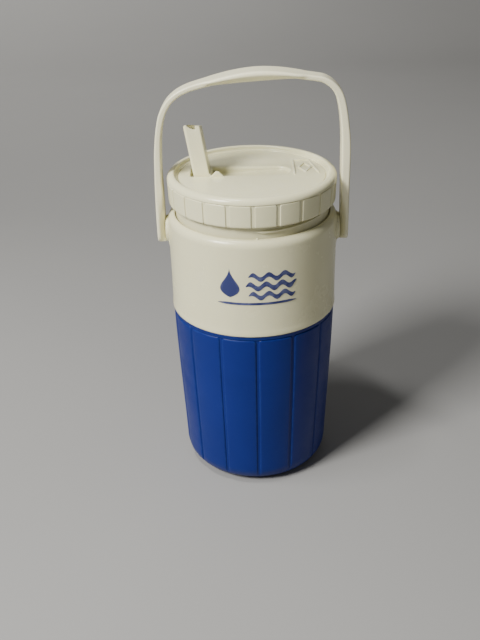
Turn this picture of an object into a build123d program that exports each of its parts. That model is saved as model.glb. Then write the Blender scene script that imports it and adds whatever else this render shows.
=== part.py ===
from build123d import *
import math
import os

# Half-gallon insulated drinks jug: foam-filled body, screw lid with a flip-up
# spout, and a swinging carry handle.  Millimetres, +Z up, origin at the centre
# of the base, front toward -Y.  Profiles of turned pieces are (radius, z).

# ---------------------------------------------------------------- dimensions
# outer shell (lower body)
BASE_FILLET_R = 16.5        # rounded bottom corner
FOOT_R = 47.1               # outer edge of the flat foot
FOOT_IN_R = 42.0            # inner edge of the foot ring
FOOT_RECESS = 1.5           # hollow under the base
SHELL_FLOOR_Z = 4.0         # inside face of the base
WALL = 2.4                  # shell and collar wall
SPLIT_Z = 153.0             # where the shell meets the collar
TONGUE_R = 66.9             # rim that tucks inside the collar's lip
TONGUE_T = 1.7
TONGUE_TOP = 159.0
TONGUE_ROOT = (65.9, 143.0)  # where the rim's inside joins the wall
BODY_SIDE = [               # outside of the wall, (radius, z)
    (FOOT_R + BASE_FILLET_R, BASE_FILLET_R), (65.0, 53.0), (67.0, 96.0), (68.2, 136.0),
    (68.6, SPLIT_Z),
]
PLUG_R = 6.0                # foam plug shank
PLUG_HEAD_R = 9.0
PLUG_TOP_Z = 5.4

# upper collar (band and shoulder)
LIP_R = 69.3
BAND_R = 69.0
SEAM_GAP = 0.3              # collar to shell, vertically
SOCKET_R = TONGUE_R + 0.15
SHOULDER_Z = 229.0
SHOULDER_TOP_Z = 235.4
SHOULDER_TOP_R = 64.0
COLLAR_HOLE_R = 62.7

# inner vessel
LINER_Z = 10.0              # underside
LINER_T = 2.0               # floor thickness
NECK_R = 62.3
NECK_IN_R = 59.8
NECK_TOP_Z = 256.0
NECK_EDGE = 0.6             # chamfer on the neck's top edges

# quick thread
LEAD = 18.0                 # rise per turn
STARTS = 3
RIDGE_Z0 = 240.0            # height of a ridge's lower end
RIDGE_SPAN = 240.0          # degrees
RIDGE_H = 1.9               # radial height of a ridge
RIDGE_EMBED = 0.5           # depth sunk into the wall
RIDGE_ROOT = 1.15           # half the thickness at the root
RIDGE_CREST = 0.6           # half the thickness at the crest
LUG_FROM = 188.0            # degrees after the ridge's lower end
LUG_SPAN = 50.0
LUG_DROP = 2.4              # lug centre below the ridge centre

# lid
SKIRT_Z = 245.5
SKIRT_R = 67.3
SKIRT_TOP_R = 67.9
SKIRT_IN_R = 64.9
RIM_Z = 268.5
DECK_Z = 265.0
DECK_T = 2.2
GRIP_PANELS = 22
GROOVE_SIZE = (1.9, 2.0, 20.0)   # radial, tangential, vertical
GROOVE_R = 68.3
GROOVE_Z = 252.0            # groove centre
CUP_Z = 234.0               # underside of the lid liner
CUP_FLOOR_Z = 236.2
CUP_R = 58.6
CUP_IN_R = 56.4
CUP_FLANGE_R = 64.5
CUP_FLANGE_Z = 258.1
CUP_TOP_Z = 260.2
FOAM_GAP = 0.2              # clearance round the lid foam

# spout and its trough
PIVOT_X = -36.2
PIVOT_Y = 6.0
PIVOT_Z = 262.2
LEAN = 9.0                  # the raised spout leans this much to -X, degrees
STEM_LEFT = -9.8            # stem faces, measured from the hinge axis
STEM_RIGHT = 3.2
STEM_Y = 19.0
STEM_L = 46.2               # tip of the left lip
POST_L = 43.6               # front of the right post
STEM_FOOT = -2.0
KNUCKLE_R = 5.0
TRUNNION_R = 2.2
TRUNNION_Y = 12.9
TROUGH_W = 21.0
TROUGH_X0 = -49.2
TROUGH_X1 = 31.0
TROUGH_CORNER_R = 2.0
FLOOR_GAP = 3.4             # hinge axis down to the trough floor
FLOOR_SLOPE = 3.0           # the floor rises toward +X, degrees
TUB_T = 2.0                 # trough wall
TUB_CORNER_R = 3.5
TUB_TOP_Z = DECK_Z - 0.5
CHEEK_X = 7.0               # half sizes of the block round the hinge
CHEEK_Y = 15.0
CHEEK_Z = 254.8             # its underside
SEAT_BOSS_R = 7.5
SEAL_R = 4.2
SEAL_Z = 252.95
SEAL_GAP = 0.05
VENT_X = -20.0
VENT_R = 0.8
VENT_TUBE_R = 2.2

# handle
HANDLE_Z = 219.5            # height of the swing axis
ARM_OUT = 78.0
ARM_IN = 71.3
ARM_BOTTOM = 209.6
ARM_CHAMFER = 5.0           # lower corners of an arm, seen from the side
ARM_HALF_W = 10.0           # half widths along Y
CROWN_HALF_W = 7.75
GRIP_HALF_W = 10.4
CROWN_Z = 347.4
BAIL_DEPTH = 24.0           # extrusion before the side trim
GRIP_X0 = -34.0
GRIP_X1 = 41.5
STUD_R = 4.0
STUD_HEAD_R = 7.0
STUD_IN_X = 63.6
BOSS_R = 11.0
BOSS_CORE_R = 7.6
BOSS_X = 71.0

# Outer and inner lines of the bail, (x, z), from the right arm over the crown
# to the left arm.  The crown peaks a little to the right of centre.
BAIL_OUT = [
    (ARM_OUT, 281.0), (77.2, 295.5), (75.7, 307.0), (73.9, 317.5), (71.6, 326.2),
    (68.9, 331.6), (65.2, 335.9), (60.8, 339.2), (55.6, 341.5), (49.5, 342.6),
    (41.5, 343.8), (33.0, 345.2), (24.0, 346.5), (14.0, 347.3), (4.0, 347.3),
    (-6.0, 346.3), (-16.0, 344.6), (-25.0, 342.5), (-36.5, 339.6), (-48.0, 336.2),
    (-54.0, 333.6), (-59.5, 330.2), (-64.5, 325.6), (-68.4, 320.0), (-71.2, 314.2),
    (-73.2, 306.5), (-75.0, 296.0), (-76.4, 283.0), (-77.2, 268.0),
]
BAIL_IN_RIGHT = [
    (70.7, 281.0), (70.3, 294.5), (69.5, 305.0), (68.2, 314.6), (66.4, 322.6),
    (64.5, 327.9), (61.6, 332.3), (58.2, 335.3), (54.2, 337.5), (49.0, 338.7),
    (41.4, 339.6),
]
BAIL_IN_CROWN = [(33.3, 339.9), (14.4, 339.2), (-5.4, 338.0), (-24.0, 336.5)]
BAIL_IN_LEFT = [
    (-35.3, 335.4), (-40.6, 334.1), (-46.3, 332.5), (-51.8, 330.2), (-56.8, 327.0),
    (-61.0, 323.0), (-64.2, 318.0), (-66.6, 312.3), (-68.6, 305.0), (-70.2, 295.0),
    (-71.1, 283.0), (-71.6, 268.0),
]
SIDES = (-1, 1)             # left, right


# ---------------------------------------------------------------- helpers
def ring(*edges):
    """Solid of revolution about Z from edges drawn as (radius, z)."""
    return revolve(Plane.XZ * make_face(edges), Axis.Z)


def poly_ring(*points):
    return ring(Polyline(*points, close=True))


def rod(location, radius, length):
    return location * Cylinder(radius, length, align=(Align.CENTER, Align.CENTER, Align.MIN))


def rod_y(radius, y0, y1, x, z):
    return rod(Location((x, y0, z), (-90, 0, 0)), radius, y1 - y0)


def rod_z(radius, z0, z1, x=0.0, y=0.0):
    return rod(Location((x, y, z0)), radius, z1 - z0)


def swing_rod(side, radius, near, far):
    """Rod on the handle's swing axis, between two distances from centre."""
    x0, x1 = sorted((side * near, side * far))
    return rod(Location((x0, 0, HANDLE_Z), (0, 90, 0)), radius, x1 - x0)


def hinge_rod(radius, half_length):
    """Rod on the spout's hinge axis."""
    return rod_y(radius, PIVOT_Y - half_length, PIVOT_Y + half_length, PIVOT_X, PIVOT_Z)


def seat_rod(radius, z0, z1):
    """Upright rod below the hinge."""
    return rod_z(radius, z0, z1, PIVOT_X, PIVOT_Y)


def vent_rod(radius, z0, z1):
    return rod_z(radius, z0, z1, VENT_X, PIVOT_Y)


def box(x0, x1, y0, y1, z0, z1):
    return Location(((x0 + x1) / 2, (y0 + y1) / 2, (z0 + z1) / 2)) * Box(
        x1 - x0, y1 - y0, z1 - z0)


def corner_mid(centre_r, centre_z, radius):
    """Middle point of a bottom corner arc, 45 degrees below horizontal."""
    reach = radius * math.sin(math.radians(45))
    return (centre_r + reach, centre_z - reach)


def helical_bar(radius, z0, start_deg, span_deg, outward):
    """Trapezoid thread bar whose root is sunk into a cylinder wall."""
    path = Location((0, 0, z0), (0, 0, start_deg)) * Helix(
        LEAD, LEAD * span_deg / 360.0, radius)
    sign = 1 if outward else -1
    angle = math.radians(start_deg)
    across = (math.cos(angle), math.sin(angle), 0)
    plane = Plane(origin=(radius * across[0], radius * across[1], z0),
                  x_dir=across, z_dir=path % 0)
    root_x, crest_x = -RIDGE_EMBED * sign, RIDGE_H * sign
    profile = plane * make_face(Polyline(
        (root_x, -RIDGE_ROOT), (crest_x, -RIDGE_CREST),
        (crest_x, RIDGE_CREST), (root_x, RIDGE_ROOT), close=True))
    return sweep(profile, path=path, is_frenet=True)


def start_angles():
    return [-90 + 120 * k for k in range(STARTS)]


def trough_form(grow, z0, z1, corner_r):
    """Trough volume grown outward and down: round at +X, small corners at -X."""
    width = TROUGH_W + 2 * grow
    half = width / 2
    x0 = TROUGH_X0 - grow
    round_x = TROUGH_X1 + grow - half
    plan = (Location(((x0 + round_x) / 2, 0)) * Rectangle(round_x - x0, width)
            + Location((round_x, 0)) * Circle(half))
    plan = fillet(plan.vertices().filter_by(lambda v: v.X < x0 + 0.5), corner_r)
    above_floor = Location((PIVOT_X, PIVOT_Y, PIVOT_Z), (0, -FLOOR_SLOPE, 0)) * box(
        -80, 120, -60, 60, -FLOOR_GAP - grow, 40)
    return Location((0, PIVOT_Y, z0)) * extrude(plan, z1 - z0) & above_floor


def hinge_block(grow, top_z):
    """Block round the hinge, grown sideways and down."""
    x, y = CHEEK_X + grow, CHEEK_Y + grow
    return box(PIVOT_X - x, PIVOT_X + x, PIVOT_Y - y, PIVOT_Y + y, CHEEK_Z - grow, top_z)


# ---------------------------------------------------------------- body
def make_outer_shell():
    inner_side = [(r - WALL, z) for r, z in BODY_SIDE[:4]]
    tongue_in_r = TONGUE_R - TONGUE_T
    shell = ring(
        Polyline((0, FOOT_RECESS), (FOOT_IN_R - 1.5, FOOT_RECESS), (FOOT_IN_R, 0),
                 (FOOT_R, 0)),
        ThreePointArc((FOOT_R, 0), corner_mid(FOOT_R, BASE_FILLET_R, BASE_FILLET_R),
                      BODY_SIDE[0]),
        Spline(*BODY_SIDE),
        Polyline(BODY_SIDE[-1], (TONGUE_R, SPLIT_Z), (TONGUE_R, TONGUE_TOP),
                 (tongue_in_r, TONGUE_TOP), (tongue_in_r, 147.0), TONGUE_ROOT),
        Spline(TONGUE_ROOT, *reversed(inner_side)),
        ThreePointArc(inner_side[0],
                      corner_mid(FOOT_R, BASE_FILLET_R + 0.05, BASE_FILLET_R - WALL - 0.02),
                      (FOOT_R, SHELL_FLOOR_Z)),
        Line((FOOT_R, SHELL_FLOOR_Z), (0, SHELL_FLOOR_Z)),
        Line((0, SHELL_FLOOR_Z), (0, FOOT_RECESS)),
    )
    return shell - rod_z(PLUG_R + 0.05, 0, 6)


def make_foam_fill_plug():
    head_top = FOOT_RECESS - 0.02
    return poly_ring(
        (0, 0.5), (8.2, 0.5), (PLUG_HEAD_R, 0.9), (PLUG_HEAD_R, head_top), (PLUG_R, head_top),
        (PLUG_R, PLUG_TOP_Z - 0.8), (PLUG_R - 0.8, PLUG_TOP_Z), (0, PLUG_TOP_Z))


def make_upper_collar():
    bottom = SPLIT_Z + SEAM_GAP
    ledge = TONGUE_TOP + SEAM_GAP
    underside = SHOULDER_TOP_Z - WALL
    shoulder_end = (SHOULDER_TOP_R, SHOULDER_TOP_Z)
    collar = ring(
        Polyline((SOCKET_R, bottom), (LIP_R - 0.4, bottom), (LIP_R, bottom + 0.4),
                 (LIP_R, 157.0), (BAND_R, 160.0), (BAND_R, SHOULDER_Z)),
        Spline((BAND_R, SHOULDER_Z), (SHOULDER_TOP_R + 3.7, SHOULDER_Z + 4.4), shoulder_end,
               tangents=[(0, 1), (-1, 0.1)]),
        Polyline(shoulder_end, (COLLAR_HOLE_R, SHOULDER_TOP_Z), (COLLAR_HOLE_R, underside),
                 (SHOULDER_TOP_R, underside), (BAND_R - WALL, SHOULDER_Z - 1.5),
                 (BAND_R - WALL, ledge), (SOCKET_R, ledge), (SOCKET_R, bottom)),
    )
    # handle bosses, then the stud holes through them
    for side in SIDES:
        collar += (swing_rod(side, BOSS_CORE_R, 62.7, BOSS_X)
                   + swing_rod(side, BOSS_R, 67.6, BOSS_X))
    for side in SIDES:
        collar -= swing_rod(side, STUD_R, 63.4, 80.0)
    return collar


def make_body_liner():
    floor = LINER_Z + LINER_T
    liner = ring(
        Polyline((0, LINER_Z), (46.2, LINER_Z)),
        ThreePointArc((46.2, LINER_Z), (51.9, 12.3), (54.2, 18.0)),
        Polyline((54.2, 18.0), (57.8, 214.0), (NECK_R - 0.3, 222.0), (NECK_R, 224.5),
                 (NECK_R, NECK_TOP_Z - NECK_EDGE), (NECK_R - NECK_EDGE, NECK_TOP_Z),
                 (NECK_IN_R + NECK_EDGE, NECK_TOP_Z), (NECK_IN_R, NECK_TOP_Z - NECK_EDGE),
                 (NECK_IN_R, 225.5), (55.8, 215.5), (52.2, 18.4)),
        ThreePointArc((52.2, 18.4), (50.4, 13.9), (46.0, floor)),
        Polyline((46.0, floor), (0, floor), (0, LINER_Z)),
    )
    for angle in start_angles():
        liner += helical_bar(NECK_R, RIDGE_Z0, angle, RIDGE_SPAN, outward=True)
    return liner


def make_body_insulation():
    bottom, top = 5.6, 232.6
    inner_bottom = LINER_Z - 0.25
    corner_end = (BODY_SIDE[0][0] - WALL - 0.6, 17.0)
    foam = ring(
        Polyline((0, bottom), (FOOT_R, bottom)),
        ThreePointArc((FOOT_R, bottom),
                      corner_mid(FOOT_R, BASE_FILLET_R + 0.6, BASE_FILLET_R - WALL - 0.9),
                      corner_end),
        Polyline(corner_end, (62.2, 53.0), (64.2, 96.0), (64.9, 130.0), (65.0, 160.0),
                 (66.3, 161.5), (66.3, 227.0), (64.0, top), (62.6, top), (62.6, 224.4),
                 (62.2, 221.7), (58.1, 213.8), (54.5, 18.2)),
        ThreePointArc((54.5, 18.2), (52.1, 12.05), (46.2, inner_bottom)),
        Polyline((46.2, inner_bottom), (0, inner_bottom), (0, bottom)),
    )
    for side in SIDES:
        foam -= swing_rod(side, BOSS_CORE_R + 0.3, 50.0, 75.0)
    return foam


# ---------------------------------------------------------------- lid
def grip_groove(k):
    degrees = -90 + 360.0 * k / GRIP_PANELS
    angle = math.radians(degrees)
    centre = (GROOVE_R * math.cos(angle), GROOVE_R * math.sin(angle), GROOVE_Z)
    return Location(centre, (0, 0, degrees)) * Box(*GROOVE_SIZE)


def trough_ear():
    """Small triangular ear at the trough's front edge, beside the spout."""
    plane = Plane(origin=(0, PIVOT_Y - TROUGH_W / 2 - 0.2, 0), x_dir=(1, 0, 0),
                  z_dir=(0, -1, 0))
    outline = Polyline((-33.0, DECK_Z - 0.6), (-21.3, DECK_Z - 0.6), (-26.4, DECK_Z + 3.6),
                       (-28.2, DECK_Z + 3.8), close=True)
    return extrude(plane * make_face(outline), 2.3)


def make_lid_cap():
    underside = DECK_Z - DECK_T
    cap = ring(
        Polyline((SKIRT_IN_R, SKIRT_Z), (SKIRT_R - 0.5, SKIRT_Z), (SKIRT_R, SKIRT_Z + 0.5),
                 (SKIRT_TOP_R, 263.6)),
        ThreePointArc((SKIRT_TOP_R, 263.6), (66.6, 267.1), (63.2, RIM_Z)),
        ThreePointArc((63.2, RIM_Z), (62.1, 268.0), (61.6, 266.9)),
        ThreePointArc((61.6, 266.9), (61.1, 265.5), (59.8, DECK_Z)),
        Polyline((59.8, DECK_Z), (0, DECK_Z), (0, underside), (62.6, underside),
                 (SKIRT_IN_R, 260.4), (SKIRT_IN_R, SKIRT_Z)),
    )
    # grooves between the grip panels
    grooves = grip_groove(0)
    for k in range(1, GRIP_PANELS):
        grooves += grip_groove(k)
    cap -= grooves

    # trough walls, hinge block and seat boss
    tub = trough_form(TUB_T, 250.0, TUB_TOP_Z, TUB_CORNER_R)
    cap += tub + hinge_block(0, TUB_TOP_Z) + seat_rod(SEAT_BOSS_R, 246.0, 257.0)

    # trough hollow, hinge clearances, seal pocket, drink hole and air vent
    cap -= trough_form(0, 250.0, DECK_Z + 5, TROUGH_CORNER_R)
    cap -= hinge_rod(KNUCKLE_R + 0.35, TROUGH_W / 2)
    cap -= hinge_rod(TRUNNION_R + 0.06, TRUNNION_Y + 0.4)
    cap -= seat_rod(SEAL_R + SEAL_GAP, SEAL_Z - SEAL_GAP, 260.0)
    cap -= seat_rod(2.6, 240.0, 256.0)
    cap -= vent_rod(VENT_R, 245.0, 262.0)
    cap += trough_ear()

    # thread lugs inside the skirt
    lug_z = RIDGE_Z0 + LEAD * LUG_FROM / 360.0 - LUG_DROP
    for angle in start_angles():
        cap += helical_bar(SKIRT_IN_R, lug_z, angle + LUG_FROM, LUG_SPAN, outward=False)
    return cap


def make_lid_liner():
    liner = ring(
        Polyline((0, CUP_Z), (CUP_IN_R, CUP_Z)),
        ThreePointArc((CUP_IN_R, CUP_Z), (57.96, 234.64), (CUP_R, CUP_FLOOR_Z)),
        Polyline((CUP_R, CUP_FLOOR_Z), (CUP_R, CUP_FLANGE_Z), (CUP_FLANGE_R, CUP_FLANGE_Z),
                 (CUP_FLANGE_R, CUP_TOP_Z), (CUP_IN_R, CUP_TOP_Z), (CUP_IN_R, CUP_FLOOR_Z),
                 (0, CUP_FLOOR_Z), (0, CUP_Z)),
    )
    # drink tube, then vent tube, each bored through
    liner += seat_rod(5.4, 235.0, 245.9)
    liner -= seat_rod(3.6, 230.0, 250.0)
    liner += vent_rod(VENT_TUBE_R, 235.0, 257.3)
    liner -= vent_rod(VENT_R, 230.0, 265.0)
    return liner


def make_lid_gasket():
    bottom, step, top = NECK_TOP_Z + 0.05, 256.9, CUP_FLANGE_Z - 0.05
    return poly_ring((59.9, bottom), (62.4, bottom), (62.4, top), (58.7, top),
                     (58.7, step), (59.9, step))


def make_lid_insulation():
    radius = CUP_IN_R - FOAM_GAP
    bottom = CUP_FLOOR_Z + FOAM_GAP
    top = DECK_Z - DECK_T - FOAM_GAP
    foam = poly_ring((0, bottom), (radius, bottom), (radius, top), (0, top))
    foam -= trough_form(TUB_T + FOAM_GAP, 245.0, 270.0, TUB_CORNER_R)
    foam -= hinge_block(FOAM_GAP, 270.0)
    foam -= seat_rod(SEAT_BOSS_R + FOAM_GAP, 236.0, 258.0)
    foam -= vent_rod(VENT_TUBE_R + FOAM_GAP, 236.0, 270.0)
    return foam


# ---------------------------------------------------------------- spout
def make_spout():
    """Built upright with the hinge axis at the origin, then leaned in place."""
    mid_x = (STEM_LEFT + STEM_RIGHT) / 2
    stem = Location((mid_x, 0, (STEM_L + STEM_FOOT) / 2)) * Box(
        STEM_RIGHT - STEM_LEFT, STEM_Y, STEM_L - STEM_FOOT)
    stem = fillet(stem.edges().filter_by(Axis.Z), 0.9)
    top_left = stem.edges().filter_by(
        lambda e: e.center().Z > STEM_L - 0.01 and e.center().X < STEM_LEFT + 0.1)
    stem = fillet(top_left, 2.0)
    spout = stem + rod_y(KNUCKLE_R, -STEM_Y / 2, STEM_Y / 2, 0, 0)
    spout += rod_y(TRUNNION_R, -TRUNNION_Y, TRUNNION_Y, 0, 0)

    # drink channel, open at the mouth
    spout -= rod_z(2.3, -12.0, 14.0)
    channel = Location((mid_x - 0.4, 0, 34.0)) * Box(7.6, 15.0, 44.0)
    spout -= fillet(channel.edges().filter_by(Axis.Z), 2.5)

    # a lip at the left runs down in a scoop to a square post at the right
    scoop = make_face(Polyline(
        (-7.4, 48.0), (-7.1, 45.2), (-5.6, 43.4), (-3.6, 41.8), (-1.8, 40.9), (-0.5, 40.5),
        (-0.5, 48.0), close=True))
    spout -= Location((0, 14, 0)) * extrude(Plane.XZ * scoop, 28.0)
    # the whole mouth falls toward the right and toward the back
    spout -= Location((1.5, -STEM_Y / 2, POST_L), (-15.1, 13.0, 0)) * box(
        -30, 30, -10, 40, 0, 20)
    return Location((PIVOT_X, PIVOT_Y, PIVOT_Z), (0, -LEAN, 0)) * spout


def make_spout_seat_seal():
    seal = seat_rod(SEAL_R, SEAL_Z, 259.0)
    seal -= seat_rod(2.5, 251.0, 262.0)
    seal -= rod_y(KNUCKLE_R + SEAL_GAP, -20, 20, PIVOT_X, PIVOT_Z)
    return seal


# ---------------------------------------------------------------- handle
def make_handle():
    # front view of the bail, extruded along Y
    bail = make_face([
        Spline(*BAIL_OUT, tangents=[(0, 1), (-0.04, -1)]),
        Spline(*BAIL_IN_RIGHT, tangents=[(0, 1), (-1, 0.1)]),
        Spline(*BAIL_IN_LEFT, tangents=[(-1, -0.2), (0, -1)]),
        Polyline(BAIL_OUT[0], (ARM_OUT, ARM_BOTTOM), (ARM_IN, ARM_BOTTOM), BAIL_IN_RIGHT[0]),
        Polyline(BAIL_OUT[-1], (-ARM_OUT, 238.0), (-ARM_OUT, ARM_BOTTOM),
                 (-ARM_IN, ARM_BOTTOM), (-ARM_IN, 238.0), BAIL_IN_LEFT[-1]),
        Polyline(BAIL_IN_RIGHT[-1], *BAIL_IN_CROWN, BAIL_IN_LEFT[0]),
    ])
    back = Plane(origin=(0, BAIL_DEPTH / 2, 0), x_dir=(1, 0, 0), z_dir=(0, -1, 0))
    bail = extrude(back * bail, BAIL_DEPTH)

    # side view, (y, z): wide arms tapering to a narrower crown
    top = CROWN_Z + 1
    half_view = [(ARM_HALF_W - ARM_CHAMFER, ARM_BOTTOM), (ARM_HALF_W, ARM_BOTTOM + ARM_CHAMFER),
                 (ARM_HALF_W, 229.0), (CROWN_HALF_W, 247.0), (CROWN_HALF_W, top)]
    mirrored = [(-y, z) for y, z in reversed(half_view)]
    side_view = make_face(Polyline(*half_view, *mirrored, close=True))
    side_view = extrude(
        Plane(origin=(-90, 0, 0), x_dir=(0, 1, 0), z_dir=(1, 0, 0)) * side_view, 180.0)

    # the grip keeps more width than the rest of the crown
    grip = box(GRIP_X0, GRIP_X1, -GRIP_HALF_W, GRIP_HALF_W, 330.0, top)
    grip = fillet(grip.edges().filter_by(Axis.Z), 4.0)
    handle = (bail & side_view) + (bail & grip)
    for side in SIDES:
        handle -= swing_rod(side, STUD_R + 0.05, 60.0, 90.0)
        handle -= swing_rod(side, STUD_HEAD_R + 0.3, 76.2, 90.0)
    return handle


def make_stud(side):
    return (swing_rod(side, STUD_R, STUD_IN_X, 76.5)
            + swing_rod(side, STUD_HEAD_R, 76.3, 77.9))


# ---------------------------------------------------------------- write
pieces = {
    "outer_shell": make_outer_shell(),
    "upper_collar": make_upper_collar(),
    "body_liner": make_body_liner(),
    "body_insulation": make_body_insulation(),
    "foam_fill_plug": make_foam_fill_plug(),
    "lid_cap": make_lid_cap(),
    "lid_liner": make_lid_liner(),
    "lid_insulation": make_lid_insulation(),
    "lid_gasket": make_lid_gasket(),
    "spout": make_spout(),
    "spout_seat_seal": make_spout_seat_seal(),
    "handle": make_handle(),
    "handle_pivot_stud_left": make_stud(-1),
    "handle_pivot_stud_right": make_stud(1),
}
os.makedirs("parts", exist_ok=True)
for name, shape in pieces.items():
    shape.label = name
    export_step(shape, f"parts/{name}.step")
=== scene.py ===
# Insulated drinks jug: a panelled blue shell, a white collar, a screw lid with a flip spout
# lying along a trough, and a carry handle arching over the top.
# The jug stands on z = 0 round the Z axis, its printed front facing -Y, and the handle's
# arms are at -X and +X. Shapes are in millimetres; materials, lights and camera in metres.
import math

import bpy
import bmesh
import numpy as np
from mathutils import Matrix, Vector


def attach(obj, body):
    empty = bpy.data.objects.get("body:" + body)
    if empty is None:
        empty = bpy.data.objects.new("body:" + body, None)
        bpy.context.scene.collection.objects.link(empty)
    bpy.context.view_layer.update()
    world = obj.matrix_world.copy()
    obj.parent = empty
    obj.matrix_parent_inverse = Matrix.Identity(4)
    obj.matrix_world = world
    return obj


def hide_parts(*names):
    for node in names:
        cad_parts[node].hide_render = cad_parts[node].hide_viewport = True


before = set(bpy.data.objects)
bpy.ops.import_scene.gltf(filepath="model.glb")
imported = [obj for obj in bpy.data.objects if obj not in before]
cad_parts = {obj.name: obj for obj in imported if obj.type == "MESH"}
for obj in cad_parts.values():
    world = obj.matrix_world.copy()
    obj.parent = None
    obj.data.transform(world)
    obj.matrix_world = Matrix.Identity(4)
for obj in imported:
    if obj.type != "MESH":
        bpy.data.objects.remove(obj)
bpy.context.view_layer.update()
COLLECTION = bpy.context.scene.collection
PI = math.pi
MM = 0.001

# Dimensions shared by several pieces
HANDLE_PIVOT_Z = 219.5
HINGE_X, HINGE_Y, HINGE_Z = -36.2, 6.0, 262.2        # spout hinge, its axis along Y
DECK_Z = 265.0                                       # flat top of the lid
THREAD_Z, THREAD_LEAD, THREAD_STARTS = 240.0, 18.0, 3
NECK_RADIUS = 62.3


# ------------------------------------------------------------------ shader graphs
class Shader:
    """A new material with one Principled shader, and short calls for the nodes feeding it."""

    def __init__(self, name):
        self.material = bpy.data.materials.new(name)
        self.material.use_nodes = True
        self.tree = self.material.node_tree
        self.tree.nodes.clear()
        output = self.tree.nodes.new("ShaderNodeOutputMaterial")
        self.principled = self.tree.nodes.new("ShaderNodeBsdfPrincipled")
        self.tree.links.new(self.principled.outputs[0], output.inputs[0])
        self.position = self.node("TexCoord", {}, output="Object")

    def feed(self, socket, value):
        """Link a socket to an input, or set the input's value."""
        if isinstance(value, bpy.types.NodeSocket):
            self.tree.links.new(value, socket)
        elif socket.type == "RGBA":
            socket.default_value = (*value, 1.0)
        else:
            socket.default_value = value

    def node(self, kind, inputs, output=0, **settings):
        node = self.tree.nodes.new("ShaderNode" + kind)
        for key, value in settings.items():
            setattr(node, key, value)
        for key, value in inputs.items():
            if value is not None:
                self.feed(node.inputs[key], value)
        return node.outputs[output]

    def surface(self, inputs):
        for key, value in inputs.items():
            self.feed(self.principled.inputs[key], value)

    def subsurface(self, weight, radius, scale):
        self.surface({"Subsurface Weight": weight, "Subsurface Radius": radius,
                      "Subsurface Scale": scale})

    def mapped(self, scale, turn=(0, 0, 0)):
        return self.node("Mapping", {"Scale": scale, "Rotation": turn, 0: self.position})

    def noise(self, scale, detail=3.0, rough=0.5, at=None, distort=0.0):
        return self.node("TexNoise", {
            "Scale": scale, "Detail": detail, "Roughness": rough, "Distortion": distort,
            "Vector": self.position if at is None else at})

    def cells(self, scale):
        return self.node("TexVoronoi", {"Scale": scale, "Vector": self.position})

    def ramp(self, value, start, end, low=0.0, high=1.0):
        return self.node("MapRange", {"From Min": start, "From Max": end, "To Min": low,
                                      "To Max": high, "Value": value}, clamp=True)

    def math(self, operation, first, second):
        return self.node("Math", {0: first, 1: second}, operation=operation)

    def mix(self, amount, first, second):
        return self.node("Mix", {0: amount, 6: first, 7: second}, output=2, data_type="RGBA")

    def bump(self, height, distance, strength, normal=None):
        return self.node("Bump", {"Distance": distance, "Strength": strength,
                                  "Height": height, "Normal": normal})

    def pointiness(self, start, end):
        """Rising start and end pick convex edges; falling ones pick hollows."""
        return self.ramp(self.node("NewGeometry", {}, output="Pointiness"), start, end)


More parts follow.
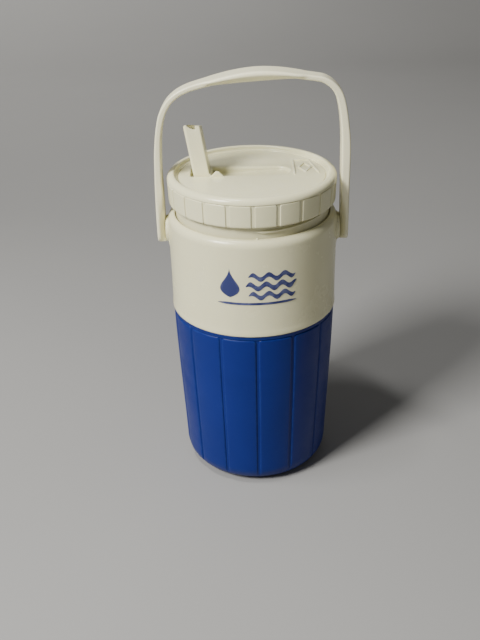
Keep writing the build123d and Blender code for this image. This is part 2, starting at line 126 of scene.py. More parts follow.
# ------------------------------------------------------------------ materials
def moulded(name, base, shade, dirt_and_hollow_shade, rough, scuff, wear=None, streak=None, subsurface=0.0,
            grain=0.00006, specular=0.5):
    """Satin moulded plastic: fine grain, flow clouding, scuffs, painted shade with dirt in the
    hollows, worn edges.
    """
    g = Shader(name)
    cloud = g.noise(scale=14.0, detail=4, rough=0.55, distort=0.6)
    colour = g.mix(g.ramp(cloud, start=0.32, end=0.7), base, shade)
    # painted shade with a dirt tint darkens the hollows, broken up by noise
    patches = g.ramp(g.noise(scale=120.0, detail=4, rough=0.6),
                     start=0.35, end=0.65, low=0.35, high=1.0)
    hollow_shade_and_dirt = g.math("MULTIPLY", g.pointiness(start=0.49, end=0.44), patches)
    colour = g.mix(g.math("MULTIPLY", hollow_shade_and_dirt, 0.55), colour, dirt_and_hollow_shade)
    # specks
    specks = g.math("MULTIPLY", g.ramp(g.cells(scale=95.0), start=0.07, end=0.03),
                    g.ramp(g.noise(scale=31.0, detail=2), start=0.6, end=0.68))
    colour = g.mix(g.math("MULTIPLY", specks, 0.5), colour, dirt_and_hollow_shade)
    # fine scratches, two directions, masked to patches
    first = g.noise(scale=1.0, detail=2, at=g.mapped((90, 90, 2600), turn=(0.5, 0.2, 0.3)))
    second = g.noise(scale=1.0, detail=2, at=g.mapped((2400, 80, 110), turn=(0.2, 0.7, -0.4)))
    scratches = g.math("MAXIMUM", g.ramp(first, start=0.67, end=0.72),
                       g.ramp(second, start=0.68, end=0.73))
    scratches = g.math("MULTIPLY", scratches,
                       g.ramp(g.noise(scale=22.0, detail=3), start=0.47, end=0.62))
    scratches = g.math("MULTIPLY", scratches, scuff)
    if wear is not None:
        broken = g.ramp(g.noise(scale=160.0, detail=4, rough=0.65), start=0.42, end=0.62)
        edges = g.math("MULTIPLY", g.pointiness(start=0.505, end=0.56), broken)
        colour = g.mix(g.math("MULTIPLY", edges, 0.5), colour, wear)
        colour = g.mix(scratches, colour, wear)
    if streak is not None:
        runs = g.noise(scale=1.0, detail=3, rough=0.55, at=g.mapped((60, 60, 5)))
        colour = g.mix(g.ramp(runs, start=0.55, end=0.8, high=0.22), colour, streak)
    roughness = g.ramp(g.noise(scale=48.0, detail=5, rough=0.6),
                       start=0.3, end=0.7, low=rough[0], high=rough[1])
    roughness = g.math("ADD", roughness, g.math("MULTIPLY", scratches, 0.2))
    roughness = g.math("ADD", roughness, g.math("MULTIPLY", hollow_shade_and_dirt, 0.15))
    # broad waviness, then grain, then scratches cut in
    normal = g.bump(g.noise(scale=26.0, detail=3), distance=0.00013, strength=0.4)
    normal = g.bump(g.noise(scale=1500.0, detail=3, rough=0.6), distance=grain,
                    strength=0.7, normal=normal)
    normal = g.bump(g.math("SUBTRACT", 1.0, scratches), distance=0.00004,
                    strength=0.6, normal=normal)
    g.surface({"Base Color": colour, "Roughness": roughness, "Normal": normal,
               "IOR": 1.5, "Specular IOR Level": specular})
    if subsurface:
        g.subsurface(subsurface, radius=(1.0, 0.85, 0.6), scale=0.0025)
    return g.material


WHITE = moulded("white_plastic_satin", base=(0.82, 0.79, 0.52), shade=(0.77, 0.735, 0.475),
                dirt_and_hollow_shade=(0.30, 0.27, 0.19), rough=(0.20, 0.30), scuff=0.12,
                wear=(0.835, 0.805, 0.56), streak=(0.66, 0.63, 0.50), subsurface=0.12)
LID = moulded("white_plastic_lid", base=(0.85, 0.82, 0.54), shade=(0.795, 0.765, 0.495),
              dirt_and_hollow_shade=(0.40, 0.37, 0.25), rough=(0.16, 0.27), scuff=0.2,
              wear=(0.88, 0.86, 0.76), subsurface=0.12)
HANDLE = moulded("white_plastic_handle", base=(0.90, 0.865, 0.615), shade=(0.845, 0.805, 0.565),
                 dirt_and_hollow_shade=(0.33, 0.30, 0.22), rough=(0.26, 0.42), scuff=0.3,
                 wear=(0.88, 0.86, 0.76), subsurface=0.10)
SPOUT = moulded("white_plastic_spout", base=(0.91, 0.875, 0.60), shade=(0.855, 0.82, 0.555),
                dirt_and_hollow_shade=(0.36, 0.33, 0.23), rough=(0.18, 0.30), scuff=0.2,
                wear=(0.92, 0.90, 0.76), subsurface=0.12)
BLUE = moulded("blue_plastic_satin", base=(0.0030, 0.0168, 0.172), shade=(0.0025, 0.0145, 0.148),
               dirt_and_hollow_shade=(0.012, 0.024, 0.055), rough=(0.34, 0.5), scuff=0.16,
               wear=(0.05, 0.11, 0.32), grain=0.00009, specular=0.24)
INNER = moulded("inner_white_plastic", base=(0.74, 0.71, 0.48), shade=(0.69, 0.66, 0.44),
                dirt_and_hollow_shade=(0.42, 0.39, 0.30), rough=(0.28, 0.4), scuff=0.1, subsurface=0.1)
PRINT = moulded("printed_ink_blue", base=(0.020, 0.028, 0.125), shade=(0.026, 0.036, 0.145),
                dirt_and_hollow_shade=(0.12, 0.13, 0.2), rough=(0.38, 0.55), scuff=0.25,
                wear=(0.16, 0.18, 0.32), grain=0.00003)


def foam_material():
    g = Shader("cast_foam_cells")
    cells = g.cells(scale=900.0)
    colour = g.mix(g.ramp(cells, start=0.1, end=0.7), (0.62, 0.49, 0.24), (0.83, 0.72, 0.45))
    stain = g.ramp(g.noise(scale=20.0, detail=4), start=0.35, end=0.7, high=0.4)
    g.surface({
        "Base Color": g.mix(stain, colour, (0.72, 0.58, 0.30)),
        "Roughness": g.ramp(g.noise(scale=60.0), start=0.3, end=0.7, low=0.8, high=0.95),
        "Normal": g.bump(cells, distance=0.0006, strength=0.8)})
    return g.material


def seal_material():
    g = Shader("silicone_seal")
    cloud = g.ramp(g.noise(scale=60.0, detail=4), start=0.35, end=0.7)
    g.surface({
        "Base Color": g.mix(cloud, (0.50, 0.50, 0.46), (0.60, 0.60, 0.56)),
        "Roughness": g.ramp(g.noise(scale=130.0, detail=4), start=0.3, end=0.7,
                            low=0.45, high=0.65),
        "Normal": g.bump(g.noise(scale=900.0), distance=0.00005, strength=0.6)})
    g.subsurface(0.2, radius=(1.0, 1.0, 0.9), scale=0.002)
    return g.material


FOAM = foam_material()
SEAL = seal_material()


# ------------------------------------------------------------------ mesh building
def face_outward(shape):
    bmesh.ops.recalc_face_normals(shape, faces=shape.faces)


def mesh_object(name, verts, faces, edit=face_outward):
    """Object from points in millimetres; edit works on the bmesh before it is stored."""
    mesh = bpy.data.meshes.new(name)
    mesh.from_pydata([(x * MM, y * MM, z * MM) for x, y, z in verts], [], faces)
    shape = bmesh.new()
    shape.from_mesh(mesh)
    edit(shape)
    shape.to_mesh(mesh)
    shape.free()
    obj = bpy.data.objects.new(name, mesh)
    COLLECTION.objects.link(obj)
    return obj


def finish_mesh(obj, material, body, angle):
    """Material, smooth shading with edges sharp beyond angle degrees, and the moving body."""
    mesh = obj.data
    mesh.materials.clear()
    mesh.materials.append(material)
    mesh.polygons.foreach_set("use_smooth", [True] * len(mesh.polygons))
    mesh.set_sharp_from_angle(angle=math.radians(angle))
    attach(obj, body)


def make_part(name, verts, faces, material, body, angle=40, weld=2e-6):
    """Finished piece with coincident points welded and empty faces removed."""
    def clean(shape):
        bmesh.ops.remove_doubles(shape, verts=shape.verts, dist=weld)
        empty = [face for face in shape.faces if face.calc_area() < 1e-14]
        if empty:
            bmesh.ops.delete(shape, geom=empty, context="FACES_ONLY")
        face_outward(shape)

    obj = mesh_object(name, verts, faces, clean)
    finish_mesh(obj, material, body, angle)
    return obj


def bridge(first, second, count):
    """Quads between two rings of count points, given each ring's first index."""
    return [(first + i, first + (i + 1) % count, second + (i + 1) % count, second + i)
            for i in range(count)]


def grid_faces(rows, cols, base=0, closed=False):
    """Quads joining stacked rings; closed also joins the last ring to the first."""
    starts = [base + j * cols for j in range(rows)]
    following = starts[1:] + starts[:1] if closed else starts[1:]
    return [face for a, b in zip(starts, following) for face in bridge(a, b, cols)]


def tube_faces(rows, cols, turn_start=True, turn_end=False):
    """Stacked rings with a cap on each end; a turned cap runs the other way round."""
    start = tuple(range(cols))
    end = tuple(range((rows - 1) * cols, rows * cols))
    return grid_faces(rows, cols) + [start[::-1] if turn_start else start,
                                     end[::-1] if turn_end else end]


def solid(rings, name="cutter", turn_start=True, turn_end=False):
    verts = [point for ring in rings for point in ring]
    return mesh_object(name, verts, tube_faces(len(rings), len(rings[0]), turn_start, turn_end))


def cylinder(radius, start, end, axis, centre, segments):
    """Cylinder along an axis letter, centred on the other two coordinates."""
    rings = []
    for along in (start, end):
        points = []
        for i in range(segments):
            a = centre[0] + radius * math.cos(2 * PI * i / segments)
            b = centre[1] + radius * math.sin(2 * PI * i / segments)
            points.append({"x": (along, a, b), "y": (a, along, b), "z": (a, b, along)}[axis])
        rings.append(points)
    return solid(rings)


def apply_modifier(obj, modifier):
    depsgraph = bpy.context.evaluated_depsgraph_get()
    mesh = bpy.data.meshes.new_from_object(obj.evaluated_get(depsgraph))
    obj.modifiers.remove(modifier)
    old = obj.data
    obj.data = mesh
    bpy.data.meshes.remove(old)


def boolean(obj, cutter, operation="DIFFERENCE"):
    modifier = obj.modifiers.new("cut", "BOOLEAN")
    modifier.object = cutter
    modifier.operation = operation
    modifier.solver = "EXACT"
    apply_modifier(obj, modifier)
    bpy.data.objects.remove(cutter)


# ------------------------------------------------------------------ outlines
def smooth(t):
    t = np.clip(t, 0, 1)
    return t * t * (3 - 2 * t)


def ring(radius, turn, z):
    """Points round the Z axis at the angles in turn."""
    return list(zip(radius * np.cos(turn), radius * np.sin(turn),
                    np.broadcast_to(z, turn.shape)))


def arc(cx, cy, rx, ry, start, end, steps, first=0):
    """Points on an elliptical arc between two angles in degrees, from point number first."""
    angles = [math.radians(start + (end - start) * i / steps) for i in range(first, steps + 1)]
    return [(cx + rx * math.cos(a), cy + ry * math.sin(a)) for a in angles]


def rounded_rectangle(half_x, half_y, radius, corner_steps=8, side_steps=12):
    """Rounded rectangle with a fixed number of points on each side."""
    points = []
    # corner signs, first angle of the corner, direction of the side that follows
    for sx, sy, start, dx, dy in ((1, -1, -90, 0, 1), (1, 1, 0, -1, 0),
                                  (-1, 1, 90, 0, -1), (-1, -1, 180, 1, 0)):
        points += arc(sx * (half_x - radius), sy * (half_y - radius), radius, radius,
                      start, start + 90, corner_steps)
        length = 2 * (half_y - radius) if dy else 2 * (half_x - radius)
        x, y = points[-1]
        for _ in range(side_steps - 1):
            x, y = x + dx * length / side_steps, y + dy * length / side_steps
            points.append((x, y))
    return points


def panel_columns(count, radius, first_degrees, half):
    """Columns for equal panels round a wall, placed as in half from each panel's two edges.

    Returns the pitch, the angles, and each column's distance from its panel's centre."""
    pitch = 2 * PI * radius / count
    across = half + [pitch / 2] + [pitch - h for h in reversed(half[1:])]
    first = math.radians(first_degrees)
    turn = np.array([first + (k * pitch + p) / radius for k in range(count) for p in across])
    return pitch, turn, (turn - first) * radius % pitch - pitch / 2


def panel_rise(x, z, half_width, bottom, top, corner, shoulder):
    """0 outside a rounded rectangle, 1 inside, with a quarter-round shoulder."""
    centre, half_height = (bottom + top) / 2, (top - bottom) / 2
    qx = np.abs(x) - (half_width - corner)
    qz = np.abs(z - centre) - (half_height - corner)
    outside = np.hypot(np.maximum(qx, 0), np.maximum(qz, 0))
    depth = -(np.minimum(np.maximum(qx, qz), 0) + outside - corner)
    t = np.clip(depth / shoulder, 0, 1)
    return np.sqrt(np.clip(1 - (1 - t) ** 2, 0, 1))


# ------------------------------------------------------------------ blue shell
SHELL_RADIUS = 67.5                  # where the panel pitch is measured
SHELL_PANELS = 14
SHELL_FIRST_GROOVE = -90 + 1.9       # degrees, a groove near the front
GROOVE_WIDTH = 2.0
GROOVE_DEPTH = 1.15
PANEL_EDGE_DEPTH = 0.35
PANEL_CROWN = 0.35
PANEL_TOP = 149.4
BASE_ROUND = 16.5                    # radius of the rounded base
BASE_ROUND_CENTRE = 47.1

# distances from a groove's centre
SHELL_HALF = [0, 0.4, 0.75, 1.0, 1.2, 1.5, 1.9, 2.4, 3.0, 3.8, 4.9, 6.3, 8.2, 10.4, 12.8]
# (z, radius) measured up the wall
SHELL_WALL = [(16.5, 63.6), (53.0, 65.0), (96.0, 67.0), (136.0, 68.2), (153.0, 68.6)]
# heights of the wall's rings
SHELL_WALL_Z = [
    17.6, 19, 21, 24, 28, 34, 41, 50, 60, 72, 85, 98, 110, 120, 128, 133, 136.5, 139, 140.8,
    142.2, 143.3, 144.3, 145.2, 146.0, 146.7, 147.3, 147.8, 148.2, 148.55, 148.85, 149.1,
    149.4, 150.0, 151.0, 152.0]
# (radius, z) from the centre of the underside outward
SHELL_UNDERSIDE = [(0.6, 1.5), (14, 1.5), (28, 1.5), (40.3, 1.5), (40.9, 1.3), (41.4, 0.5),
                   (42.1, 0.1), (42.8, 0.0), (45, 0.0)]
# (radius, z) over the rim and down the inside to the centre
SHELL_INSIDE = [
    (68.55, 152.6), (68.2, 152.9), (67.4, 153.0), (66.9, 153.0), (66.9, 158.6), (66.5, 159.0),
    (65.5, 159.0), (65.2, 158.7), (65.2, 147.0), (65.6, 143.0), (65.3, 120), (64.3, 90),
    (62.6, 53), (61.3, 20), (58.6, 10.5), (53.5, 5.6), (47.1, 4.0), (30, 4.0), (0.6, 4.0)]


def shell_relief(radius, z, pitch, offset):
    """Offset of the surface along its normal: crowned panels between grooves."""
    if z > 149.2:                    # the grooves run out above the panels
        blend = smooth((z - 149.3) / 0.8)
        return np.full(len(offset), -GROOVE_DEPTH * (1 - blend) - 0.25 * blend)
    x = offset * radius / SHELL_RADIUS
    rise = panel_rise(x, z, half_width=(pitch * radius / SHELL_RADIUS - GROOVE_WIDTH) / 2,
                      bottom=-60.0, top=PANEL_TOP, corner=2.6, shoulder=1.5)
    crown = np.clip(1 - (np.abs(x) / (pitch / 2)) ** 2, 0, 1) * PANEL_CROWN
    relief = -GROOVE_DEPTH + rise * (GROOVE_DEPTH - PANEL_EDGE_DEPTH + crown)
    if z < 14:                       # and fade out under the base
        relief = relief * smooth((z - 6.0) / 8.0)
    return relief


def build_shell():
    pitch, turn, offset = panel_columns(SHELL_PANELS, SHELL_RADIUS, SHELL_FIRST_GROOVE,
                                        SHELL_HALF)
    # a cubic through the measured wall, read off between evenly spaced heights
    wall_z, wall_r = np.array(SHELL_WALL).T
    curve_z = np.linspace(16.5, 153.0, 60)
    curve_r = np.polyval(np.polyfit(wall_z, wall_r, 3), curve_z)
    wall = arc(BASE_ROUND_CENTRE, BASE_ROUND, BASE_ROUND, BASE_ROUND, -90, 0, 18)
    wall += [(float(np.interp(z, curve_z, curve_r)), z) for z in SHELL_WALL_Z]
    verts = []
    for radius, z in SHELL_UNDERSIDE:
        verts += ring(radius, turn, z)
    for radius, z in wall:
        relief = shell_relief(radius, z, pitch, offset)
        # the normal tilts down round the base and is level above it
        tilt = math.atan2(min(z - BASE_ROUND, 0.0), max(radius - BASE_ROUND_CENTRE, 1e-6))
        verts += ring(radius + relief * math.cos(tilt), turn, z + relief * math.sin(tilt))
    for radius, z in SHELL_INSIDE:
        verts += ring(radius, turn, z)
    rows = len(SHELL_UNDERSIDE) + len(wall) + len(SHELL_INSIDE)
    obj = make_part("outer_shell_panelled", verts, tube_faces(rows, len(turn)), BLUE,
                    "jug")
    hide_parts("outer_shell")


build_shell()

# ------------------------------------------------------------------ white collar
COLLAR_RADIUS = 69.0
PAD_X = 71.0                         # flat face of the pad round each handle pivot
PAD_RADIUS = 11.6
PAD_EDGE = 0.9

# degrees from a pivot, dense across its pad
COLLAR_DEGREES = [
    0, 1.0, 2.2, 3.4, 4.6, 5.8, 6.6, 7.2, 7.7, 8.1, 8.5, 8.8, 9.1, 9.4, 9.7, 10.1, 10.6, 11.3,
    12.2, 13.5, 15.2, 17.5, 20.5, 24, 28, 32.5, 37, 41.5, 46, 50.5, 55, 59.5, 64, 68.5, 73,
    77.5, 82, 86, 90]
# (radius, z) from the inside over the lower edge and up the outer face
COLLAR_LOWER = [
    (67.05, 159.3), (67.05, 153.6), (67.3, 153.3), (68.6, 153.3), (69.05, 153.42),
    (69.28, 153.75), (69.32, 154.3), (69.3, 156.0), (69.22, 157.2), (69.08, 158.4),
    (69.0, 160.0), (68.92, 165), (68.85, 172), (68.8, 180), (68.8, 190), (68.85, 198)]
# heights of the rings past the pads
COLLAR_PAD_Z = [
    203.5, 206, 207.3, 208.0, 208.4, 208.8, 209.2, 209.7, 210.4, 211.3, 212.4, 213.8, 215.4,
    217.2, 219.0, 220.8, 222.5, 224.0, 225.3, 226.4, 227.3, 228.0, 228.6]
# (radius, z) from the top edge down the inside
COLLAR_INSIDE = [
    (63.75, 235.38), (63.4, 235.2), (63.2, 234.85), (63.12, 234.3), (63.12, 233.2),
    (63.6, 232.9), (65.6, 229.5), (66.4, 225), (66.4, 190), (66.4, 159.3)]


def build_collar():
    half_turn = COLLAR_DEGREES + [180 - h for h in reversed(COLLAR_DEGREES[1:-1])]
    turn = np.radians(half_turn + [h + 180 for h in half_turn])
    rows = COLLAR_LOWER + [(68.9 + 0.1 * (z - 203.5) / 25, z) for z in COLLAR_PAD_Z]
    rows += arc(64.0, 229.0, 5.0, 6.4, 0, 90, 14, first=1) + COLLAR_INSIDE
    verts = []
    for radius, z in rows:
        radii = np.full(len(turn), radius)
        if 203 < z < 236 and radius > 63.9:
            away = np.hypot(COLLAR_RADIUS * np.sin(turn), z - HANDLE_PIVOT_Z)
            flat = PAD_X / np.maximum(np.abs(np.cos(turn)), 0.5)
            radii = radii + np.maximum(flat - radii, 0) * smooth((PAD_RADIUS - away) / PAD_EDGE)
        verts += ring(radii, turn, z)
    obj = make_part("upper_collar_moulding", verts,
                    grid_faces(len(rows), len(turn), closed=True), WHITE, "jug")
    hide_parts("upper_collar")


build_collar()


def shoulder_nib():
    """Small nib in the crease between shoulder and neck, a little right of the front."""
    turn = math.radians(-87.0)
    radius, height, stretch = 0.0640, 0.2352, 1.2      # metres; the stretch is upright

    def nib(shape):
        bmesh.ops.create_uvsphere(shape, u_segments=20, v_segments=12, radius=0.00105)
        for vert in shape.verts:
            x, y, z = vert.co
            vert.co = (x + radius * math.cos(turn), y + radius * math.sin(turn),
                       z * stretch + height)

    finish_mesh(mesh_object("shoulder_nib", [], [], nib), WHITE, "jug", 40)


shoulder_nib()


# ------------------------------------------------------------------ neck and thread
def merge(parts):
    verts, faces = [], []
    for part_verts, part_faces in parts:
        base = len(verts)
        verts += part_verts
        faces += [tuple(i + base for i in face) for face in part_faces]
    return verts, faces


def thread_bar(radius, z_start, start, span, side, steps):
    """One bar with a rounded crest and run-out ends; side is 1 outward, -1 inward."""
    tall, root, crest, run_out = 1.9, 1.2, 0.55, 10.0    # run-out in degrees, the rest in mm
    verts = []
    for i in range(steps + 1):
        t = i / steps
        angle = math.radians(start + span * t)
        z = z_start + THREAD_LEAD * span / 360 * t
        ends = smooth(np.array([t * span / run_out, (1 - t) * span / run_out]))
        size = max(float(min(ends)), 0.04)
        # (height from the wall, distance along Z)
        section = [(-0.4, -root), (tall * 0.55 * size, -root * 0.78),
                   (tall * 0.92 * size, -crest), (tall * size, 0), (tall * 0.92 * size, crest),
                   (tall * 0.55 * size, root * 0.78), (-0.4, root)]
        for rise, dz in section:
            r = radius + side * rise
            verts.append((r * math.cos(angle), r * math.sin(angle),
                          z + dz * (0.5 + 0.5 * size)))
    return verts, tube_faces(steps + 1, len(section), turn_start=False, turn_end=True)


def thread(radius, z_start, start, span, side, steps):
    """One bar for each start, evenly spaced round the axis."""
    return [thread_bar(radius, z_start, start + 360 // THREAD_STARTS * k, span, side, steps)
            for k in range(THREAD_STARTS)]


# (radius, z) from the bottom centre up the outside, over the lip and down the inside
LINER = [
    (0.5, 10.0), (30, 10.0), (46.2, 10.0), (49.5, 10.8), (52.4, 13.0), (54.0, 16.2),
    (54.2, 18.0), (57.8, 214.0), (60.4, 219.0), (61.9, 222.0), (62.25, 224.0),
    (NECK_RADIUS, 226), (NECK_RADIUS, 230), (NECK_RADIUS, 234.8), (NECK_RADIUS, 236.5),
    (NECK_RADIUS, 240), (NECK_RADIUS, 250), (NECK_RADIUS, 255.3), (62.1, 255.8), (61.7, 256.0),
    (60.4, 256.0), (60.0, 255.8), (59.8, 255.3), (59.8, 226), (59.3, 223.5), (57.6, 219),
    (55.8, 214), (52.2, 18.4), (51.4, 15.2), (49.4, 12.8), (46.0, 12.0), (25, 12.0),
    (0.5, 12.0)]


def build_liner():
    turn = np.linspace(0, 2 * PI, 180, endpoint=False)
    wall = [point for radius, z in LINER for point in ring(radius, turn, z)]
    bars = thread(NECK_RADIUS, THREAD_Z, start=-90, span=240, side=1, steps=90)
    verts, faces = merge([(wall, tube_faces(len(LINER), len(turn)))] + bars)
    obj = make_part("vessel_and_neck", verts, faces, INNER, "jug")
    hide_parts("body_liner")


build_liner()

# ------------------------------------------------------------------ lid
LID_RADIUS = 67.6                    # where the panel pitch is measured
LID_PANELS = 22
LID_FIRST_GROOVE = -90 + 0.3         # degrees
LID_GROOVE_WIDTH = 2.7
LID_GROOVE_DEPTH = 0.75
LUG_RADIUS = 64.9
LUG_TURN = 188                       # degrees the lugs sit ahead of the neck's thread

TROUGH_LEFT, TROUGH_RIGHT, TROUGH_HALF, TROUGH_CORNER = -49.2, 31.0, 10.5, 2.0
TROUGH_STEPS = 22                    # along each long side
FLOOR_TILT = math.radians(3.0)       # the floor rises toward +X
FLOOR_BELOW_HINGE = 3.4
FLOOR_ROUND = 1.2

# distances from a groove's centre
LID_HALF = [0, 0.55, 0.95, 1.35, 1.5, 1.7, 1.95, 2.3, 2.9, 4.0, 6.0, 8.0]
# (radius, z) of the lower edge, from the inside outward
LID_LOWER = [(64.9, 246.0), (65.2, 245.6), (65.6, 245.5), (66.2, 245.5)]
# (radius, z) at the start of the grooved wall
LID_WALL_START = [(66.75, 245.62), (67.1, 245.9), (67.3, 246.4)]
LID_WALL_Z = [247.2, 248.5, 250, 252, 254, 256, 258, 259.5, 260.5, 261.1, 261.6, 261.9, 262.15,
              262.35, 262.55, 262.75, 262.95, 263.1, 263.3]
# (radius, z) from the raised rim down to the deck, split by a quarter-round
LID_RIM_INSIDE = [(62.6, 268.42), (62.2, 268.2), (61.9, 267.8), (61.72, 267.2), (61.66, 266.6)]
LID_DECK_GROOVE = [(59.9, 264.95), (59.75, 264.55), (59.55, 264.25), (59.2, 264.18),
                   (58.95, 264.4), (58.8, 264.75), (58.6, 264.95), (58.35, DECK_Z)]
# (radius, z) of the underside, from the middle outward
LID_UNDERSIDE = [(62.4, 262.8), (64.4, 261.6), (64.9, 260.4)]


def floor_z(x):
    """Height of the trough floor."""
    return (HINGE_Z - FLOOR_BELOW_HINGE / math.cos(FLOOR_TILT)
            + (x - HINGE_X) * math.tan(FLOOR_TILT))


def trough_outline(offset):
    """Plan of the trough, anticlockwise from the full round at +X, moved outward by offset."""
    left, half, corner = TROUGH_LEFT + TROUGH_CORNER, TROUGH_HALF, TROUGH_CORNER
    right = TROUGH_RIGHT - half
    points = arc(right, 0, half + offset, half + offset, -90, 90, 36)
    points += [(right + (left - right) * i / TROUGH_STEPS, half + offset)
               for i in range(1, TROUGH_STEPS)]
    points += arc(left, half - corner, corner + offset, corner + offset, 90, 180, 8)
    points += [(TROUGH_LEFT - offset, (half - corner) * (1 - 2 * i / 5)) for i in range(1, 5)]
    points += arc(left, corner - half, corner + offset, corner + offset, 180, 270, 8)
    points += [(left + (right - left) * i / TROUGH_STEPS, -half - offset)
               for i in range(1, TROUGH_STEPS)]
    return [(x, y + HINGE_Y) for x, y in points]


def trough_ring(offset, height):
    """Trough outline in space; height gives z from x."""
    return [(x, y, height(x)) for x, y in trough_outline(offset)]


def lid_wall(pitch, turn, offset):
    """Rings of the cap from its lower edge over the rim to the deck."""
    grooved = LID_WALL_START + [(67.3 + 0.6 * (z - 245.5) / 18.0, z) for z in LID_WALL_Z]
    over = arc(63.1, 263.75, 4.8, 4.75, 0, 90, 16) + LID_RIM_INSIDE
    over += arc(60.16, 266.55, 1.5, -1.5, 0, 90, 6, first=1) + LID_DECK_GROOVE
    rings = [ring(radius, turn, z) for radius, z in LID_LOWER]
    for radius, z in grooved:
        rise = panel_rise(offset, z, half_width=(pitch - LID_GROOVE_WIDTH) / 2,
                          bottom=240.0, top=263.05, corner=1.3, shoulder=0.55)
        radii = radius - LID_GROOVE_DEPTH + rise * LID_GROOVE_DEPTH
        if z > 263.0:
            radii = np.maximum(radii, radius - 0.62)
        rings.append(ring(radii, turn, z))
    return rings + [ring(radius, turn, z) for radius, z in over]


def trough_edge():
    """Rings of the rounded edge where the trough passes through the deck."""
    inner, outer = np.array(trough_outline(0.0)), np.array(trough_outline(1.0))
    # broader along the +Y side and the right end
    radius = (0.8 + 1.4 * smooth((inner[:, 1] - HINGE_Y + 4.0) / 10.0)
              * smooth((inner[:, 0] + 40.0) / 12.0))
    radius = np.minimum(radius, 264.95 - np.maximum(262.8, floor_z(inner[:, 0]) + 1.3))
    rings = []
    for degrees in (0, 12, 24, 36, 48, 60, 70, 80, 90):
        t = math.radians(degrees)
        plan = inner + (outer - inner) * (radius * (1 - math.sin(t)))[:, None]
        rings.append(list(zip(plan[:, 0], plan[:, 1], DECK_Z - radius * (1 - math.cos(t)))))
    return rings + [[(x, y, 262.8) for x, y in inner]]


def build_cap():
    pitch, turn, offset = panel_columns(LID_PANELS, LID_RADIUS, LID_FIRST_GROOVE, LID_HALF)
    cols = len(turn)
    wall = lid_wall(pitch, turn, offset)
    underside = [ring(radius, turn, z) for radius, z in LID_UNDERSIDE]
    edge = trough_edge()
    count = len(edge[0])
    under = len(wall) * cols
    trough = under + len(underside) * cols
    faces = grid_faces(len(wall), cols) + grid_faces(len(underside), cols, under)
    faces += bridge(trough - cols, 0, cols) + grid_faces(len(edge), count, trough)
    deck_and_bottom = (
        (range(under - cols, under), range(trough, trough + count)),
        (range(under, under + cols),
         range(trough + (len(edge) - 1) * count, trough + len(edge) * count)))

    def fill(shape):
        """Fill the deck and the underside between the cap and the trough."""
        shape.verts.ensure_lookup_table()
        for loops in deck_and_bottom:
            edges = []
            for loop in loops:
                for i in range(len(loop)):
                    ends = shape.verts[loop[i]], shape.verts[loop[(i + 1) % len(loop)]]
                    edges.append(shape.edges.get(ends) or shape.edges.new(ends))
            bmesh.ops.triangle_fill(shape, use_beauty=True, use_dissolve=False, edges=edges)
            shape.verts.ensure_lookup_table()
        face_outward(shape)

    verts = [point for rings in (wall, underside, edge) for points in rings for point in points]
    obj = mesh_object("lid_cap_moulding", verts, faces, fill)
    finish_mesh(obj, LID, "lid", 30)
    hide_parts("lid_cap")


def build_well():
    """Trough below the deck, with straight walls, a rounded floor edge and a hinge seat."""
    def above_floor(rise):
        return lambda x: floor_z(x) + rise

    def rim(x):
        return max(262.72, floor_z(x) + 1.28)

    inside = [trough_ring(0.0, rim),
              trough_ring(0.0, lambda x: max(262.6, floor_z(x) + 1.22))]
    for degrees in (0, 22, 45, 68, 90):
        a = math.radians(degrees)
        inside.append(trough_ring(-FLOOR_ROUND * (1 - math.cos(a)),
                                  above_floor(FLOOR_ROUND * (1 - math.sin(a)))))
    outside = [trough_ring(2.0, rim), trough_ring(2.0, above_floor(-1.2)),
               trough_ring(1.2, above_floor(-2.0))]
    count = len(inside[0])
    base = len(inside) * count
    end = base + len(outside) * count
    faces = grid_faces(len(inside), count) + grid_faces(len(outside), count, base)
    faces += bridge(0, base, count)
    faces += [tuple(range(base - count, base)), tuple(reversed(range(end - count, end)))]
    well = mesh_object("spout_well", [point for points in inside + outside for point in points],
                       faces)

    # boss and block under the hinge
    plan = (HINGE_X, HINGE_Y)
    boolean(well, cylinder(7.4, 246.0, 257.0, "z", plan, 48), "UNION")
    block = [[(HINGE_X + sx * 6.9, HINGE_Y + sy * 14.9, z)
              for sx, sy in ((-1, -1), (1, -1), (1, 1), (-1, 1))] for z in (254.9, 262.7)]
    boolean(well, solid(block), "UNION")
    # clear the trough again, in two depths
    for offset, rise, top in ((-0.02, 1.22, 266.0), (-1.25, 0.01, 264.0)):
        boolean(well, solid([trough_ring(offset, above_floor(rise)),
                             trough_ring(offset, lambda x: top)]))
    # knuckle and pin seats across the trough, then the upright bores
    for radius, reach, segments in ((5.35, TROUGH_HALF - 0.01, 64), (2.26, 13.3, 40)):
        boolean(well, cylinder(radius, HINGE_Y - reach, HINGE_Y + reach, "y",
                               (HINGE_X, HINGE_Z), segments))
    boolean(well, cylinder(4.25, 252.9, 262.0, "z", plan, 48))
    boolean(well, cylinder(2.6, 240.0, 256.0, "z", plan, 40))
    boolean(well, cylinder(0.8, 245.0, 264.0, "z", (-20.0, HINGE_Y), 20))
    finish_mesh(well, LID, "lid", 30)


def build_lugs():
    z_start = THREAD_Z + THREAD_LEAD * LUG_TURN / 360 - 2.4
    verts, faces = merge(thread(LUG_RADIUS, z_start, start=-90 + LUG_TURN, span=50, side=-1,
                                steps=30))
    make_part("lid_thread_lugs", verts, faces, LID, "lid")


build_cap()
build_well()
build_lugs()


def lid_prism(name, outline, start, end, axis, bevel, segments):
    """Prism with rounded edges; an (x, z) outline runs along y, an (x, y) one along z."""
    verts = [(a, along, b) if axis == "y" else (a, b, along)
             for along in (start, end) for a, b in outline]

    def round_edges(shape):
        face_outward(shape)
        bmesh.ops.bevel(shape, geom=list(shape.edges), offset=bevel * MM, segments=segments,
                        profile=0.6, affect="EDGES", clamp_overlap=True)

    obj = mesh_object(name, verts, tube_faces(2, len(outline), turn_start=False, turn_end=True),
                      round_edges)
    finish_mesh(obj, LID, "lid", 40)


